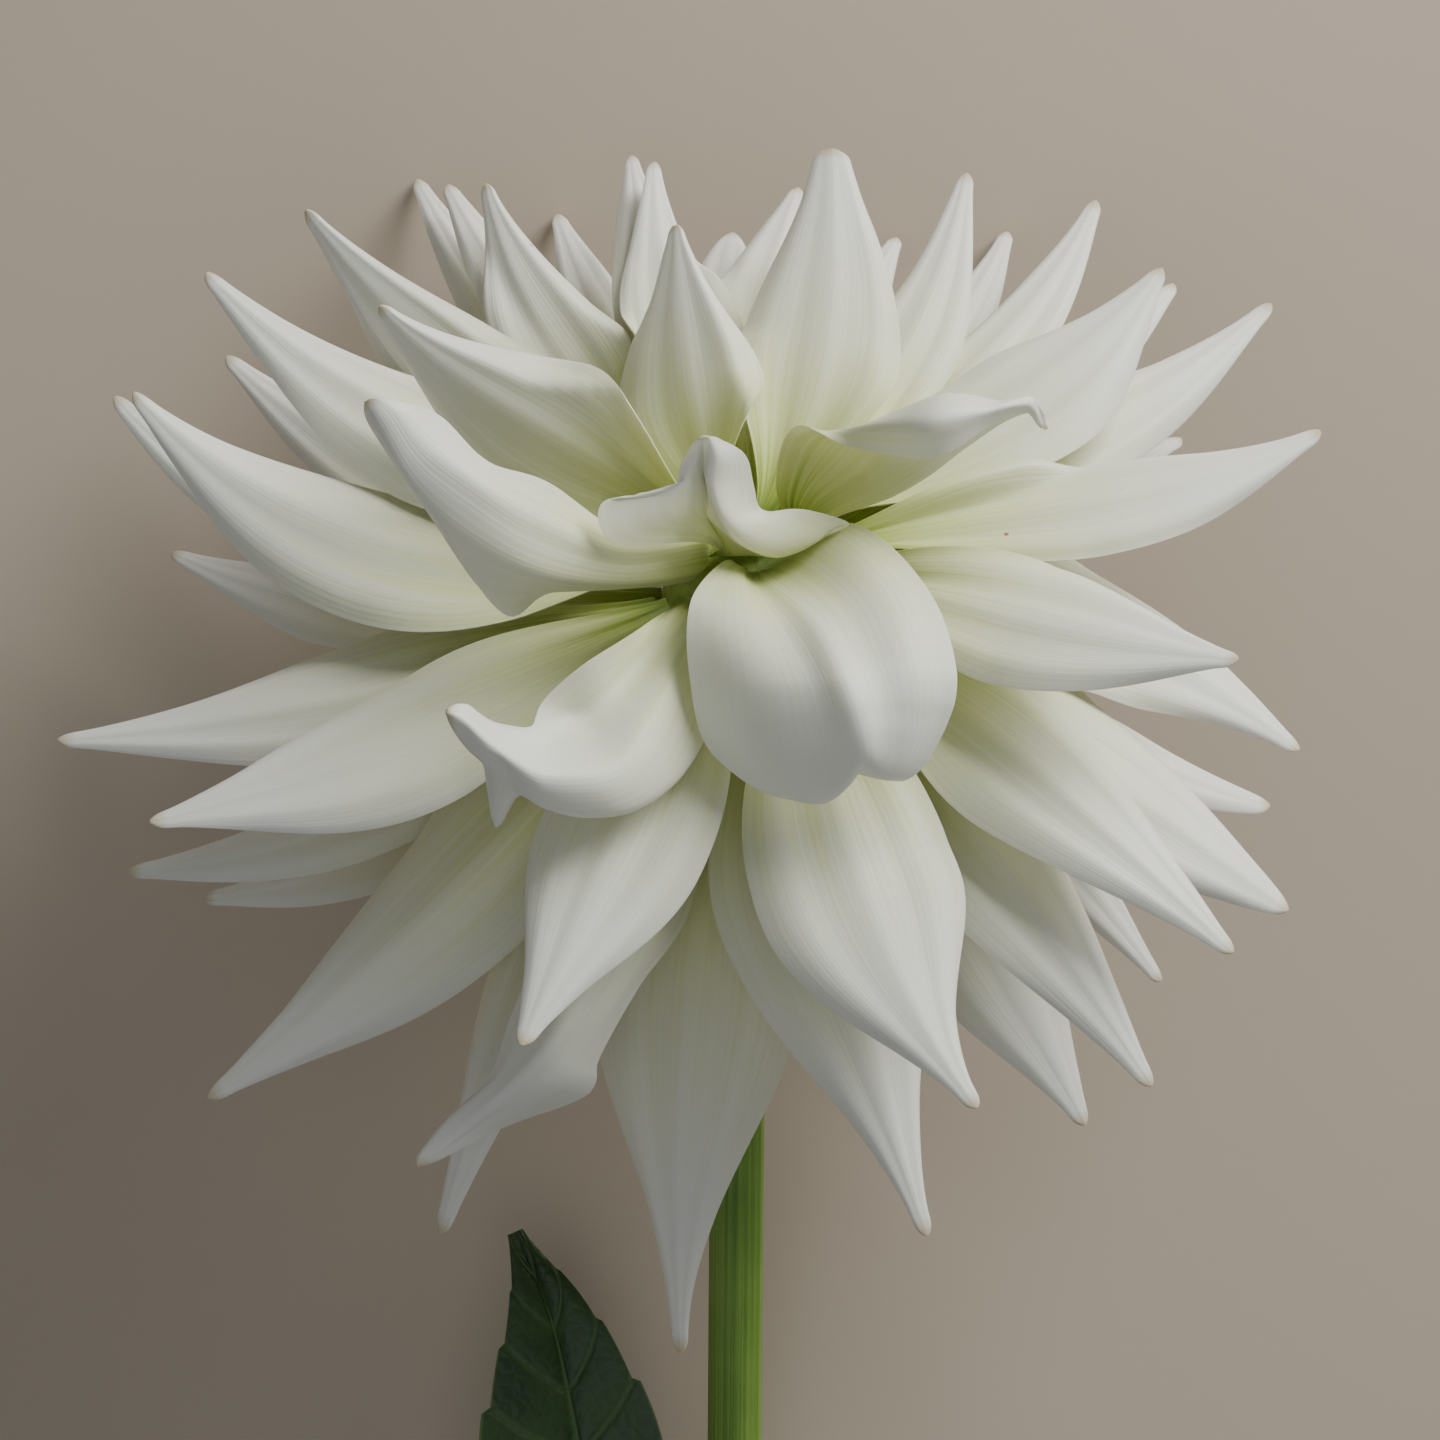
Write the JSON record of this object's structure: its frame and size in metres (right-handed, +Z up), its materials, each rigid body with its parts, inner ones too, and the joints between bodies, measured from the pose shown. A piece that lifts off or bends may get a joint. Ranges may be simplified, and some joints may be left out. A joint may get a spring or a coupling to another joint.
{
  "type": "dahlia flower",
  "caption": "Cut white dahlia bloom with long pointed ray petals, on a green stem with one toothed leaf, lying on its side.",
  "frame": {"origin": "bottom centre of the flower's box, on the surface it lies on", "axes": "+Y along the stem towards the bloom, +Z up from the surface, +X across the stem to the right when the bloom points away"},
  "size_m": [0.2008, 0.318, 0.1336],
  "materials": {
    "petal_white": "soft satin petal tissue, lime green at the base, cream at the tip",
    "receptacle_green": "smooth fresh lime green tissue",
    "stem_green": "smooth fresh green with pale lengthwise streaks",
    "leaf_green": "dark green leaf with fine net veins",
    "bract_green": "fresh green leafy tissue"
  },
  "bodies": {
    "root": {"stem": "stem_green", "leaf": "leaf_green", "receptacle": "receptacle_green", "young_florets": "receptacle_green", "bract_1": "bract_green", "bract_2": "bract_green", "bract_3": "bract_green", "bract_4": "bract_green", "bract_5": "bract_green", "petal_01": "petal_white", "petal_02": "petal_white", "petal_03": "petal_white", "petal_04": "petal_white", "petal_05": "petal_white", "petal_06": "petal_white", "petal_07": "petal_white", "petal_08": "petal_white", "petal_09": "petal_white", "petal_10": "petal_white", "petal_11": "petal_white", "petal_12": "petal_white", "petal_13": "petal_white", "petal_14": "petal_white", "petal_15": "petal_white", "petal_16": "petal_white", "petal_17": "petal_white", "petal_18": "petal_white", "petal_19": "petal_white", "petal_20": "petal_white", "petal_21": "petal_white", "petal_22": "petal_white", "petal_23": "petal_white", "petal_24": "petal_white", "petal_25": "petal_white", "petal_26": "petal_white", "petal_27": "petal_white", "petal_28": "petal_white", "petal_29": "petal_white", "petal_30": "petal_white", "petal_31": "petal_white", "petal_32": "petal_white", "petal_33": "petal_white", "petal_34": "petal_white", "petal_35": "petal_white", "petal_36": "petal_white", "petal_37": "petal_white", "petal_38": "petal_white", "petal_39": "petal_white", "petal_40": "petal_white", "petal_41": "petal_white", "petal_42": "petal_white", "petal_43": "petal_white", "petal_44": "petal_white", "petal_45": "petal_white", "petal_46": "petal_white", "petal_47": "petal_white", "petal_48": "petal_white", "petal_49": "petal_white", "petal_50": "petal_white", "petal_51": "petal_white"}
  },
  "joints": []
}
